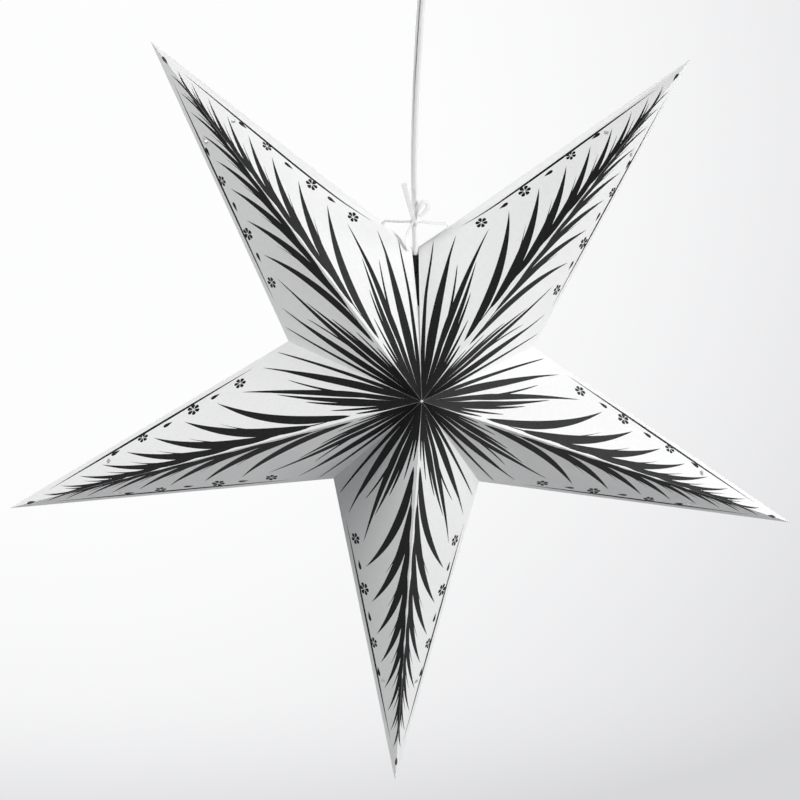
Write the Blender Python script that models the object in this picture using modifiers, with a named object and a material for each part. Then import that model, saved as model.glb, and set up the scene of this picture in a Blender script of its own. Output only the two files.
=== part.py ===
"""Folded card star lantern, hung by its flex round a small screw lamp holder.

Metres, +Z up. The origin is the centre of the ceiling face. The front of the star faces -Y.
Arms are numbered clockwise from the seam at the top, as seen from the front. The left and the
right panel of an arm are named as seen from the front, looking from the centre to the tip.
"""

import math

import bmesh
import bpy
from mathutils import Matrix, Vector

# Star, measured in its mid plane and square to it
ARM_COUNT = 5
TIP_RADIUS = 0.316
VALLEY_RADIUS = 0.096
HALF_DEPTH = 0.100
SEAM_ANGLE = math.radians(8)
SEAM_ANGLE_OPEN = math.radians(80)
CENTRE_DROP = 0.340
CARD_THICKNESS = 0.0004
FOLD_GAP = 0.0005

# Flap on the last arm that closes the seam from behind the first arm
FLAP_WIDTH = 0.011
FLAP_START = 0.022
FLAP_END = 0.088
FLAP_TAPER = 0.009

# Round holes punched beside each ridge, and the tie holes on the fold beside the seam
PUNCH_RADIUS = 0.0027
PUNCH_SETBACK = 0.081
PUNCH_ACROSS_SHARE = 0.66
TIE_HOLE_RADIUS = 0.0019
TIE_HOLE_REACH = 0.026

# Lamp holder, its top set below the card's corners at the seam
HOLDER_DIP = 0.005
NECK_RADIUS = 0.0052
NECK_HEIGHT = 0.010
STEM_RADIUS = 0.0036
STEM_DROP = 0.0045
GRIP_FOOT_SHARE = 1.18
HOLDER_WALL = 0.0015
SLEEVE_SPACE = 0.0021
DOME_HEIGHT = 0.014
CAP_SKIRT = 0.011
BODY_HEIGHT = 0.024
LIP_HEIGHT = 0.0025
LIP_STAND = 0.0006
BLOCK_HEIGHT = 0.006
CONTACT_WIDTH = 0.004
CONTACT_THICKNESS = 0.0005
CONTACT_DROP = 0.0022

# Bulb with a small screw cap
CAP_RADIUS = 0.0068
CAP_HEIGHT = 0.0195
SLEEVE_WALL = 0.0005
SLEEVE_HEIGHT = 0.019
THREAD_PITCH = 0.00282
THREAD_DEPTH = 0.0005
THREAD_COUNT = 5
BEAD_RADIUS = 0.0026
BEAD_HEIGHT = 0.0016
GLOBE_RADIUS = 0.0225
GLASS_WALL = 0.0008
GLASS_NECK_RADIUS = 0.0060
GLASS_NECK_LENGTH = 0.012
NECK_FLARE_SHARE = 1.35

# Flex and ceiling fitting
CORD_RADIUS = 0.0028
CORD_STEP = 0.0125
CUP_RADIUS = 0.026
CUP_HEIGHT = 0.026
CUP_WALL = 0.0016
CUP_ROUND = 0.009
PLATE_THICKNESS = 0.002
SCREW_HOLE_RADIUS = 0.0021
SCREW_HOLE_REACH = 0.0165
GLAND_RADIUS = 0.0058
GLAND_DROP = 0.008
GLAND_FLANGE = 0.0018
GLAND_FLANGE_HEIGHT = 0.0015

# Ribbon tie, its knot set above the card's corners at the seam
TIE_RISE = 0.023
RIBBON_RADIUS = 0.0010
KNOT_RADIUS = 0.0032
WRAP_RADIUS = 0.0013
KNOT_SHARES = (1.05, 0.75, 1.0)
TIE_LEAD = 0.003
TIE_SAG = 0.0008

# Fits and drawing fineness
CLEARANCE = 0.0003
MERGE_DISTANCE = 0.00001
OVERRUN = 0.004
ROUND_STEPS = 32
HOLE_STEPS = 20
DOME_STEPS = 8
CUP_STEPS = 6
GLOBE_STEPS = 14

STAR_CENTRE = Vector((0, 0, -CENTRE_DROP))
HOLDER_TOP = VALLEY_RADIUS - HOLDER_DIP
TIE_HEIGHT = VALLEY_RADIUS + TIE_RISE
SLEEVE_RADIUS = CAP_RADIUS + CLEARANCE + SLEEVE_WALL
HOLDER_RADIUS = SLEEVE_RADIUS + THREAD_DEPTH + SLEEVE_SPACE + 2 * HOLDER_WALL + CLEARANCE
PITCH_ANGLE = (2 * math.pi - SEAM_ANGLE) / ARM_COUNT
FRONT, BACK = -1, 1
LEFT, RIGHT = -1, 1
SIDE_NAMES = {LEFT: "left", RIGHT: "right"}
FACE_NAMES = {FRONT: "front", BACK: "back"}


def clear_scene():
    """Remove every object, so that the script can be run again."""
    for old in list(bpy.data.objects):
        bpy.data.objects.remove(old, do_unlink=True)


def new_collection(name):
    """A collection of its own, linked to the scene."""
    collection = bpy.data.collections.get(name) or bpy.data.collections.new(name)
    if name not in bpy.context.scene.collection.children:
        bpy.context.scene.collection.children.link(collection)
    return collection


def new_material(name, colour, roughness, metallic=0.0):
    """A Principled material in one colour."""
    material = bpy.data.materials.new(name)
    material.use_nodes = True
    shader = material.node_tree.nodes["Principled BSDF"]
    shader.inputs["Base Color"].default_value = (*colour, 1)
    shader.inputs["Roughness"].default_value = roughness
    shader.inputs["Metallic"].default_value = metallic
    return material


def new_object(name, mesh, collection, material=None):
    """An object for a mesh, put in its collection."""
    item = bpy.data.objects.new(name, mesh)
    collection.objects.link(item)
    if material:
        mesh.materials.append(material)
    return item


def mesh_from(name, build):
    """A mesh whose faces are made by a function and turned to point outwards."""
    mesh = bpy.data.meshes.new(name)
    shape = bmesh.new()
    build(shape)
    bmesh.ops.recalc_face_normals(shape, faces=shape.faces)
    shape.to_mesh(mesh)
    shape.free()
    return mesh


def direction(angle):
    """Unit vector in the star's plane, clockwise from the top as seen from the front."""
    return Vector((math.sin(angle), 0, math.cos(angle)))


def arm_angle(arm):
    """Angle of an arm's centre line, clockwise from the top."""
    return SEAM_ANGLE / 2 + PITCH_ANGLE * (arm - 0.5)


def fold_state(half_angle):
    """Tip radius, valley radius and half depth when each arm spans twice half_angle.

    The three edges of a card panel keep their lengths: ridge, valley fold and outline fold.
    """
    rest = PITCH_ANGLE / 2
    outline = (TIP_RADIUS ** 2 + VALLEY_RADIUS ** 2
               - 2 * TIP_RADIUS * VALLEY_RADIUS * math.cos(rest))
    spread = TIP_RADIUS ** 2 - VALLEY_RADIUS ** 2
    root = math.sqrt(outline ** 2 - (spread * math.sin(half_angle)) ** 2)
    ratio = (spread * math.cos(half_angle) + root) / (spread - outline)
    valley = math.sqrt(spread / (ratio ** 2 - 1))
    depth = math.sqrt(VALLEY_RADIUS ** 2 + HALF_DEPTH ** 2 - valley ** 2)
    return ratio * valley, valley, depth


def fold_angles(half_angle):
    """Half of the inside angle at the ridge, the valley fold and the outline fold."""
    tip_radius, valley_radius, depth = fold_state(half_angle)
    apex = Vector((0, -depth, 0))
    tip = Vector((0, 0, tip_radius))
    valley = valley_radius * direction(half_angle)
    normal = (tip - apex).cross(valley - apex).normalized()
    ridge_fold = math.pi / 2 - math.asin(abs(normal.x))
    middle = Vector((math.cos(half_angle), 0, -math.sin(half_angle)))
    valley_fold = math.pi / 2 - math.asin(abs(normal.dot(middle)))
    outline_fold = math.acos(abs(normal.y))
    return ridge_fold, valley_fold, outline_fold


def facet_corners(arm, side, face):
    """Apex, tip and valley corner of one card panel, on its outer face."""
    angle = arm_angle(arm)
    apex = STAR_CENTRE + Vector((0, face * HALF_DEPTH, 0))
    tip = STAR_CENTRE + TIP_RADIUS * direction(angle)
    valley = STAR_CENTRE + VALLEY_RADIUS * direction(angle + side * PITCH_ANGLE / 2)
    return apex, tip, valley


def facet_axes(arm, side, face):
    """Unit vectors on a panel: along its valley fold, across it, and into the star."""
    apex, tip, valley = facet_corners(arm, side, face)
    along = (valley - apex).normalized()
    across = (tip - apex) - along * (tip - apex).dot(along)
    across.normalize()
    inward = along.cross(across)
    if inward.dot(STAR_CENTRE - apex) < 0:
        inward = -inward
    return along, across, inward


def inset_corners(corners, insets):
    """Corners of a triangle after each of its edges has moved in by its own inset."""
    moved = []
    for index, corner in enumerate(corners):
        before = (corners[index - 1] - corner).normalized()
        after = (corners[(index + 1) % len(corners)] - corner).normalized()
        sine = abs(before.cross(after))
        moved.append(corner + (before * insets[index] + after * insets[index - 1]) / sine)
    return moved


def fold_insets():
    """Insets of the outer and the inner face at the ridge, the outline and the valley fold.

    Ridge and outline folds are mitred for the sharpest angle that they reach, so the card
    keeps its gap there at rest and with the seam open.
    """
    rest = fold_angles(PITCH_ANGLE / 2)
    opened = fold_angles((2 * math.pi - SEAM_ANGLE_OPEN) / (2 * ARM_COUNT))
    ridge, valley, outline = (min(pair) for pair in zip(rest, opened))
    half_gap = FOLD_GAP / 2
    outer = (half_gap / math.sin(ridge), half_gap / math.sin(outline), half_gap / math.sin(valley))
    inner = ((CARD_THICKNESS * math.cos(ridge) + half_gap) / math.sin(ridge),
             (CARD_THICKNESS * math.cos(outline) + half_gap) / math.sin(outline),
             half_gap / math.sin(valley))
    return outer, inner


def flap_points(level):
    """Corners of the seam flap, from the valley end to the apex end."""
    return [Vector((FLAP_END, level)),
            Vector((FLAP_END - FLAP_TAPER, -FLAP_WIDTH)),
            Vector((FLAP_START + FLAP_TAPER, -FLAP_WIDTH)),
            Vector((FLAP_START, level))]


def panel_mesh(name, arm, side, face):
    """One card panel: a thin loft between its outer and its inner outline."""
    apex, tip, valley = facet_corners(arm, side, face)
    along, across, inward = facet_axes(arm, side, face)
    corners = [Vector(((point - apex).dot(along), (point - apex).dot(across)))
               for point in (apex, tip, valley)]
    origin = apex if face == FRONT else valley
    has_flap = arm == ARM_COUNT and side == RIGHT
    rings = []
    for insets, depth in zip(fold_insets(), (0, CARD_THICKNESS)):
        outline = inset_corners(corners, insets)
        if has_flap:
            outline += flap_points(insets[-1])
        rings.append([apex + along * point.x + across * point.y + inward * depth - origin
                      for point in outline])

    def build(shape):
        outer, inner = ([shape.verts.new(point) for point in ring] for ring in rings)
        shape.faces.new(outer)
        shape.faces.new(reversed(inner))
        for index in range(len(outer)):
            after = (index + 1) % len(outer)
            shape.faces.new((outer[index], inner[index], inner[after], outer[after]))

    return mesh_from(name, build), origin


def cylinder_between(name, start, end, radius, steps, collection):
    """A round bar from one point to another."""
    axis = end - start
    turn = axis.to_track_quat("Z", "Y").to_matrix().to_4x4()
    place = Matrix.Translation((start + end) / 2) @ turn

    def build(shape):
        bmesh.ops.create_cone(shape, cap_ends=True, segments=steps, radius1=radius,
                              radius2=radius, depth=axis.length)

    bar = new_object(name, mesh_from(name, build), collection)
    bar.matrix_world = place
    return bar


def make_cutter(name, start, end, radius, cutters):
    """A hidden round cutter."""
    cutter = cylinder_between(name, start, end, radius, HOLE_STEPS, cutters)
    cutter.hide_render = True
    cutter.display_type = "WIRE"
    return cutter


def cut(item, cutter):
    """Cut one piece with a cutter."""
    modifier = item.modifiers.new(cutter.name, "BOOLEAN")
    modifier.operation = "DIFFERENCE"
    modifier.solver = "EXACT"
    modifier.object = cutter


def punch_cutter(arm, side, face, cutters):
    """Cutter for the round hole beside an arm's ridge, square to the card."""
    apex = facet_corners(arm, side, face)[0]
    inward = facet_axes(arm, side, face)[2]
    angle = arm_angle(arm)
    beside = direction(angle + side * math.pi / 2)
    valley_along = VALLEY_RADIUS * math.cos(PITCH_ANGLE / 2)
    valley_across = VALLEY_RADIUS * math.sin(PITCH_ANGLE / 2)
    half_width = valley_across * PUNCH_SETBACK / (TIP_RADIUS - valley_along)
    point = STAR_CENTRE + direction(angle) * (TIP_RADIUS - PUNCH_SETBACK)
    point += beside * half_width * PUNCH_ACROSS_SHARE
    depth = inward.dot(apex - point) / inward.y
    point += Vector((0, depth, 0))
    name = f"cut_punch_{arm}_{SIDE_NAMES[side]}_{FACE_NAMES[face]}"
    return make_cutter(name, point - inward * OVERRUN, point + inward * OVERRUN,
                       PUNCH_RADIUS, cutters)


def tie_hole_place(arm, side):
    """Centre of the tie hole on the outline fold, and the way into the arm there."""
    tip, valley = facet_corners(arm, side, FRONT)[1:]
    run = (tip - valley).normalized()
    into_arm = direction(arm_angle(arm)) * -1
    into_arm -= run * into_arm.dot(run)
    into_arm.normalize()
    return valley + run * TIE_HOLE_REACH, into_arm


def make_panels(collection, cutters, card):
    """The front and back card panels of every arm."""
    panels = {}
    for arm in range(1, ARM_COUNT + 1):
        for side in (LEFT, RIGHT):
            for face in (FRONT, BACK):
                name = f"arm{arm}_{FACE_NAMES[face]}_{SIDE_NAMES[side]}"
                mesh, origin = panel_mesh(name, arm, side, face)
                panel = new_object(name, mesh, collection, card)
                panel.location = origin
                cut(panel, punch_cutter(arm, side, face, cutters))
                panels[arm, side, face] = panel
    for arm, side in ((1, LEFT), (ARM_COUNT, RIGHT)):
        centre, into_arm = tie_hole_place(arm, side)
        cutter = make_cutter(f"cut_tie_{arm}", centre - into_arm * OVERRUN,
                             centre + into_arm * OVERRUN, TIE_HOLE_RADIUS, cutters)
        for face in (FRONT, BACK):
            cut(panels[arm, side, face], cutter)


def arc(centre_x, centre_z, radius, start, end, steps):
    """Points on an arc of a turned profile, angles from +X towards +Z."""
    return [(centre_x + radius * math.cos(start + (end - start) * step / steps),
             centre_z + radius * math.sin(start + (end - start) * step / steps))
            for step in range(steps + 1)]


def turned(name, profile, height, collection, material, steps=ROUND_STEPS):
    """A turned solid about the vertical axis, from a profile that runs down its outer side.

    A profile that starts and ends on the axis stays open, and any other is closed to a ring.
    """
    mesh = bpy.data.meshes.new(name)
    shape = bmesh.new()
    points = [shape.verts.new((x, 0, z)) for x, z in profile]
    for one, two in zip(points, points[1:]):
        shape.edges.new((one, two))
    if profile[0][0] > 0:
        shape.edges.new((points[-1], points[0]))
    shape.to_mesh(mesh)
    shape.free()
    item = new_object(name, mesh, collection, material)
    item.location = (0, 0, height)
    screw = item.modifiers.new("Turn", "SCREW")
    screw.axis = "Z"
    screw.steps = steps
    screw.render_steps = steps
    screw.use_merge_vertices = True
    screw.merge_threshold = MERGE_DISTANCE
    return item


def thread_rings(radius, bottom):
    """Outer side of a rolled screw thread, drawn as rings, from the top down."""
    points = []
    for turn in range(THREAD_COUNT):
        top = bottom + THREAD_PITCH * (THREAD_COUNT - turn)
        for share, swell in ((0.0, 0.0), (0.3, 1.0), (0.5, 1.0), (0.8, 0.0)):
            points.append((radius + THREAD_DEPTH * swell, top - THREAD_PITCH * share))
    return points


def make_cord_grip(collection, material):
    """Grip on the flex, which stands on the holder's dome with its stem through the dome."""
    dome_top = HOLDER_TOP - NECK_HEIGHT
    foot = NECK_RADIUS * GRIP_FOOT_SHARE
    stem_base = dome_top - HOLDER_WALL - STEM_DROP
    profile = [(0, HOLDER_TOP), (NECK_RADIUS * 0.86, HOLDER_TOP),
               (NECK_RADIUS, HOLDER_TOP - NECK_HEIGHT * 0.15),
               (NECK_RADIUS, dome_top + NECK_HEIGHT * 0.45),
               (foot, dome_top + NECK_HEIGHT * 0.3), (foot, dome_top + CLEARANCE),
               (STEM_RADIUS, dome_top + CLEARANCE), (STEM_RADIUS, stem_base), (0, stem_base)]
    turned("cord_grip", profile, STAR_CENTRE.z, collection, material)


def make_holder_cap(collection, material):
    """Domed cap of the holder, a shell whose skirt goes over the body's spigot."""
    dome_top = HOLDER_TOP - NECK_HEIGHT
    dome_base = dome_top - DOME_HEIGHT
    skirt_base = dome_base - CAP_SKIRT
    inner = HOLDER_RADIUS - HOLDER_WALL
    crown = NECK_RADIUS * GRIP_FOOT_SHARE + CLEARANCE
    hole = STEM_RADIUS + CLEARANCE
    turns = [math.pi / 2 * step / DOME_STEPS for step in range(DOME_STEPS + 1)]
    outside = [(crown + (HOLDER_RADIUS - crown) * math.sin(turn),
                dome_base + DOME_HEIGHT * math.cos(turn)) for turn in turns]
    inside = [(crown + (inner - crown) * math.sin(turn),
               dome_base + (DOME_HEIGHT - HOLDER_WALL) * math.cos(turn)) for turn in turns]
    profile = [(hole, dome_top)] + outside + [(HOLDER_RADIUS, skirt_base), (inner, skirt_base)]
    profile += reversed(inside)
    profile.append((hole, dome_top - HOLDER_WALL))
    turned("holder_cap", profile, STAR_CENTRE.z, collection, material)


def holder_levels():
    """Heights of the insulating block's top and base, above the star's centre."""
    dome_base = HOLDER_TOP - NECK_HEIGHT - DOME_HEIGHT
    block_top = dome_base - CLEARANCE
    return block_top, block_top - BLOCK_HEIGHT


def make_holder_body(collection, material):
    """Lower shell of the holder, with a spigot that goes up inside the cap's skirt."""
    skirt_base = HOLDER_TOP - NECK_HEIGHT - DOME_HEIGHT - CAP_SKIRT
    body_top = skirt_base - CLEARANCE
    body_base = body_top - BODY_HEIGHT
    spigot = HOLDER_RADIUS - HOLDER_WALL - CLEARANCE
    bore = spigot - HOLDER_WALL
    spigot_top = holder_levels()[1] - CLEARANCE
    lip = HOLDER_RADIUS + LIP_STAND
    profile = [(spigot, spigot_top), (spigot, body_top), (HOLDER_RADIUS, body_top),
               (HOLDER_RADIUS, body_base + LIP_HEIGHT), (lip, body_base + LIP_HEIGHT),
               (lip, body_base), (bore, body_base), (bore, spigot_top)]
    turned("holder_body", profile, STAR_CENTRE.z, collection, material)


def make_contact_block(collection, material):
    """Insulating block that lies on the body's spigot and carries the contacts."""
    block_top, block_base = holder_levels()
    radius = HOLDER_RADIUS - HOLDER_WALL - CLEARANCE
    chamfer = BLOCK_HEIGHT * 0.12
    profile = [(0, block_top), (radius - chamfer, block_top), (radius, block_top - chamfer),
               (radius, block_base), (0, block_base)]
    turned("contact_block", profile, STAR_CENTRE.z, collection, material)


def make_screw_sleeve(collection, material):
    """Rolled metal sleeve under the block, which the bulb's cap screws into."""
    sleeve_top = holder_levels()[1] - CLEARANCE
    sleeve_base = sleeve_top - SLEEVE_HEIGHT
    outer = [(SLEEVE_RADIUS, sleeve_top)]
    outer += thread_rings(SLEEVE_RADIUS, sleeve_base + SLEEVE_WALL)
    outer.append((SLEEVE_RADIUS, sleeve_base))
    inner = [(x - SLEEVE_WALL, z) for x, z in reversed(outer)]
    turned("screw_sleeve", outer + inner, STAR_CENTRE.z, collection, material)


def make_centre_contact(collection, material):
    """Bent spring leaf under the block, cut from strip."""
    curve = bpy.data.curves.new("centre_contact", "CURVE")
    curve.dimensions = "2D"
    curve.fill_mode = "BOTH"
    curve.extrude = CONTACT_WIDTH / 2
    root = CAP_RADIUS * 0.72
    tip = CAP_RADIUS * 0.3
    outline = [(-root, 0), (root, 0), (tip, -CONTACT_DROP), (-tip, -CONTACT_DROP),
               (-tip, CONTACT_THICKNESS - CONTACT_DROP),
               (tip * 0.7, CONTACT_THICKNESS - CONTACT_DROP),
               (root * 0.72, -CONTACT_THICKNESS), (-root, -CONTACT_THICKNESS)]
    spline = curve.splines.new("POLY")
    spline.points.add(len(outline) - 1)
    for point, (x, y) in zip(spline.points, outline):
        point.co = (x, y, 0, 1)
    spline.use_cyclic_u = True
    leaf = bpy.data.objects.new("centre_contact", curve)
    collection.objects.link(leaf)
    curve.materials.append(material)
    leaf.location = (0, 0, STAR_CENTRE.z + holder_levels()[1] - CLEARANCE)
    leaf.rotation_euler = (math.pi / 2, 0, 0)


def bulb_levels():
    """Heights of the bulb's contact bead, cap and glass tops, above the star's centre."""
    bead_top = holder_levels()[1] - 2 * CLEARANCE - CONTACT_DROP
    cap_top = bead_top - BEAD_HEIGHT - CLEARANCE
    return bead_top, cap_top, cap_top - CAP_HEIGHT - CLEARANCE


def make_bulb_cap(collection, material):
    """Screw cap of the bulb, closed at the top, with a rolled thread."""
    cap_top = bulb_levels()[1]
    cap_base = cap_top - CAP_HEIGHT
    body = CAP_RADIUS - THREAD_DEPTH
    shoulder = CAP_RADIUS * 0.35
    threads = thread_rings(body, cap_top - shoulder - THREAD_PITCH * THREAD_COUNT)
    profile = [(0, cap_top), (CAP_RADIUS * 0.5, cap_top)] + threads
    profile += [(body, cap_base), (0, cap_base)]
    turned("bulb_cap", profile, STAR_CENTRE.z, collection, material)


def make_bulb_contact(collection, material):
    """Solder bead on the bulb's cap."""
    top = bulb_levels()[0]
    base = top - BEAD_HEIGHT
    profile = [(0, top), (BEAD_RADIUS * 0.6, top - BEAD_HEIGHT * 0.2),
               (BEAD_RADIUS, top - BEAD_HEIGHT * 0.7), (BEAD_RADIUS, base), (0, base)]
    turned("bulb_contact", profile, STAR_CENTRE.z, collection, material, HOLE_STEPS)


def make_bulb_glass(collection, material):
    """Round glass of the bulb, a shell that is open at its neck."""
    mouth = bulb_levels()[2]
    root = GLASS_NECK_RADIUS * NECK_FLARE_SHARE
    flare = mouth - GLASS_NECK_LENGTH * 0.6
    centre = mouth - GLASS_NECK_LENGTH - math.sqrt(GLOBE_RADIUS ** 2 - root ** 2)
    sides = []
    for wall in (0, GLASS_WALL):
        start = math.acos((root - wall) / (GLOBE_RADIUS - wall))
        side = [(GLASS_NECK_RADIUS - wall, mouth), (GLASS_NECK_RADIUS * 1.08 - wall, flare)]
        side += arc(0, centre, GLOBE_RADIUS - wall, start, -math.pi / 2, GLOBE_STEPS)
        side[-1] = (0, side[-1][1])
        sides.append(side)
    outer, inner = sides
    turned("bulb_glass", list(reversed(inner)) + outer, STAR_CENTRE.z, collection, material)


def make_ceiling_plate(collection, cutters, material):
    """Disc that is screwed to the ceiling, inside the cup."""
    radius = CUP_RADIUS - CUP_WALL - CLEARANCE
    profile = [(0, 0), (radius, 0), (radius, -PLATE_THICKNESS), (0, -PLATE_THICKNESS)]
    plate = turned("ceiling_plate", profile, 0, collection, material)
    for side in (LEFT, RIGHT):
        place = Vector((side * SCREW_HOLE_REACH, 0, 0))
        deep = Vector((0, 0, PLATE_THICKNESS + OVERRUN))
        cut(plate, make_cutter(f"cut_screw_{SIDE_NAMES[side]}", place - deep, place + deep,
                               SCREW_HOLE_RADIUS, cutters))


def make_ceiling_cup(collection, material):
    """Cup that covers the plate, with a round lower edge and a hole for the gland."""
    inner = CUP_RADIUS - CUP_WALL
    hole = GLAND_RADIUS + CLEARANCE
    outside = arc(CUP_RADIUS - CUP_ROUND, CUP_ROUND - CUP_HEIGHT, CUP_ROUND, 0, -math.pi / 2,
                  CUP_STEPS)
    inside = arc(CUP_RADIUS - CUP_ROUND, CUP_ROUND - CUP_HEIGHT, CUP_ROUND - CUP_WALL,
                 -math.pi / 2, 0, CUP_STEPS)
    profile = [(CUP_RADIUS, 0)] + outside + [(hole, -CUP_HEIGHT), (hole, CUP_WALL - CUP_HEIGHT)]
    profile += inside
    profile.append((inner, 0))
    turned("ceiling_cup", profile, 0, collection, material)


def make_cup_gland(collection, material):
    """Gland that grips the flex under the ceiling cup."""
    top = 2 * CUP_WALL - CUP_HEIGHT
    seat = -CUP_HEIGHT - CLEARANCE
    flange_base = seat - GLAND_FLANGE_HEIGHT
    base = -CUP_HEIGHT - GLAND_DROP
    flange = GLAND_RADIUS + GLAND_FLANGE
    profile = [(0, top), (GLAND_RADIUS, top), (GLAND_RADIUS, seat), (flange, seat),
               (flange, flange_base), (GLAND_RADIUS, flange_base),
               (GLAND_RADIUS * 0.72, base), (0, base)]
    turned("cup_gland", profile, 0, collection, material)


def tube(name, points, radius, collection, material, resolution):
    """A round tube with filled caps through a list of points."""
    curve = bpy.data.curves.new(name, "CURVE")
    curve.dimensions = "3D"
    curve.bevel_depth = radius
    curve.bevel_resolution = resolution
    curve.use_fill_caps = True
    spline = curve.splines.new("POLY")
    spline.points.add(len(points) - 1)
    for point, place in zip(spline.points, points):
        point.co = (*place, 1)
    item = bpy.data.objects.new(name, curve)
    collection.objects.link(item)
    curve.materials.append(material)
    return item


def smooth_route(points, steps):
    """Points on a smooth curve that passes through every given point."""
    route = []
    ends = [points[0] * 2 - points[1]] + points + [points[-1] * 2 - points[-2]]
    for index in range(1, len(ends) - 2):
        before, start, end, after = ends[index - 1:index + 3]
        for step in range(steps):
            share = step / steps
            blend = (2 * start + (end - before) * share
                     + (2 * before - 5 * start + 4 * end - after) * share ** 2
                     + (3 * start - before - 3 * end + after) * share ** 3)
            route.append(blend / 2)
    route.append(points[-1])
    return route


def make_cord(collection, material):
    """Flex from the gland straight down to the grip on the holder."""
    top = -CUP_HEIGHT - GLAND_DROP - CLEARANCE
    base = STAR_CENTRE.z + HOLDER_TOP + CLEARANCE
    count = round((top - base) / CORD_STEP)
    points = [Vector((0, 0, top + (base - top) * step / count)) for step in range(count + 1)]
    tube("cord", points, CORD_RADIUS, collection, material, 3)


def knot_centre():
    """Centre of the knot, in front of the flex."""
    half_depth = KNOT_RADIUS * KNOT_SHARES[1]
    return STAR_CENTRE + Vector((0, -CORD_RADIUS - CLEARANCE - half_depth, TIE_HEIGHT))


def make_knot(collection, cutters, material):
    """Knot of the ribbon: a turn round the flex, joined to the lump in front of it."""
    ring_radius = CORD_RADIUS + CLEARANCE + WRAP_RADIUS
    bpy.ops.mesh.primitive_torus_add(major_radius=ring_radius, minor_radius=WRAP_RADIUS,
                                     major_segments=HOLE_STEPS, minor_segments=8,
                                     location=STAR_CENTRE + Vector((0, 0, TIE_HEIGHT)))
    turn = bpy.context.object
    turn.name = "join_knot_turn"
    for owner in list(turn.users_collection):
        owner.objects.unlink(turn)
    cutters.objects.link(turn)
    turn.hide_render = True
    turn.display_type = "WIRE"

    def build(shape):
        bmesh.ops.create_uvsphere(shape, u_segments=16, v_segments=10, radius=KNOT_RADIUS)
        bmesh.ops.scale(shape, vec=KNOT_SHARES, verts=shape.verts)

    knot = new_object("tie_knot", mesh_from("tie_knot", build), collection, material)
    knot.location = knot_centre()
    join = knot.modifiers.new("Turn", "BOOLEAN")
    join.operation = "UNION"
    join.solver = "EXACT"
    join.object = turn


def make_ribbon(collection, material):
    """The two ends of the ribbon in the arms, and the loop and the tails of its bow."""
    knot = knot_centre()
    beside = KNOT_RADIUS * KNOT_SHARES[0] + RIBBON_RADIUS * 0.4 + CLEARANCE
    above = KNOT_RADIUS * KNOT_SHARES[2] + RIBBON_RADIUS * 0.4 + CLEARANCE
    for arm, side, turn in ((ARM_COUNT, RIGHT, LEFT), (1, LEFT, RIGHT)):
        hole, into_arm = tie_hole_place(arm, side)
        start = knot + Vector((turn * beside, 0, 0))
        middle = start.lerp(hole, 0.55) - Vector((0, 0, TIE_SAG))
        route = smooth_route([start, middle, hole - into_arm * TIE_LEAD, hole,
                              hole + into_arm * TIE_LEAD], 4)
        tube(f"tie_strand_{SIDE_NAMES[turn]}", route, RIBBON_RADIUS, collection, material, 2)

    bow_shares = [(0.35, 0.9), (1.6, 2.2), (3.2, 3.7), (4.6, 3.6), (4.5, 2.2), (2.9, 1.3),
                  (1.32, 0.55)]
    loop = [knot + Vector((x * KNOT_RADIUS, 0, z * KNOT_RADIUS)) for x, z in bow_shares]
    loop[0] = knot + Vector((KNOT_RADIUS * 0.2, 0, above))
    loop[-1] = knot + Vector((beside, 0, above * 0.62))
    tube("tie_loop", smooth_route(loop, 4), RIBBON_RADIUS, collection, material, 2)

    up_shares = [(-0.9, 0, 2.2), (-1.3, -0.2, 4.6), (-2.4, -0.1, 7.4)]
    down_shares = [(-1.3, -0.7, -2.6), (-1.5, -1.1, -5.2), (-1.9, -1.2, -8.6)]
    for name, shares, height in (("tie_tail_up", up_shares, above),
                                 ("tie_tail_down", down_shares, -above)):
        start = knot + Vector((-KNOT_RADIUS * 0.45, 0, height))
        route = [start] + [knot + Vector(share) * KNOT_RADIUS for share in shares]
        tube(name, smooth_route(route, 4), RIBBON_RADIUS, collection, material, 2)


def main():
    """Build the whole lantern."""
    clear_scene()
    lantern = new_collection("paper_star_lantern")
    cutters = new_collection("cutters")
    card = new_material("white_card", (0.86, 0.86, 0.85), 0.7)
    ribbon = new_material("white_ribbon", (0.82, 0.82, 0.81), 0.6)
    black = new_material("black_phenolic", (0.012, 0.012, 0.013), 0.22)
    white = new_material("white_plastic", (0.80, 0.80, 0.79), 0.35)
    sheath = new_material("white_flex", (0.78, 0.78, 0.77), 0.4)
    brass = new_material("brass", (0.78, 0.57, 0.26), 0.3, 1.0)
    ceramic = new_material("ceramic", (0.83, 0.81, 0.76), 0.5)
    nickel = new_material("nickel", (0.66, 0.65, 0.63), 0.28, 1.0)
    glass = new_material("opal_glass", (0.90, 0.90, 0.89), 0.15)

    make_panels(lantern, cutters, card)
    make_cord_grip(lantern, black)
    make_holder_cap(lantern, black)
    make_holder_body(lantern, black)
    make_contact_block(lantern, ceramic)
    make_screw_sleeve(lantern, brass)
    make_centre_contact(lantern, brass)
    make_bulb_cap(lantern, nickel)
    make_bulb_contact(lantern, nickel)
    make_bulb_glass(lantern, glass)
    make_ceiling_plate(lantern, cutters, white)
    make_ceiling_cup(lantern, white)
    make_cup_gland(lantern, white)
    make_cord(lantern, sheath)
    make_knot(lantern, cutters, ribbon)
    make_ribbon(lantern, ribbon)


main()
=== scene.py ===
"""Looks of the folded card star lantern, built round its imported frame.

Metres, +Z up, the front of the star faces -Y. Arms are numbered clockwise from the seam at the
top, as seen from the front. A card panel is drawn in its own plane: u runs from the apex along
the ridge to the tip, and w runs across it to the valley fold.
"""

import math

import bmesh
import bpy
from mathutils import Matrix, Vector, noise
from mathutils.geometry import delaunay_2d_cdt


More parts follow.
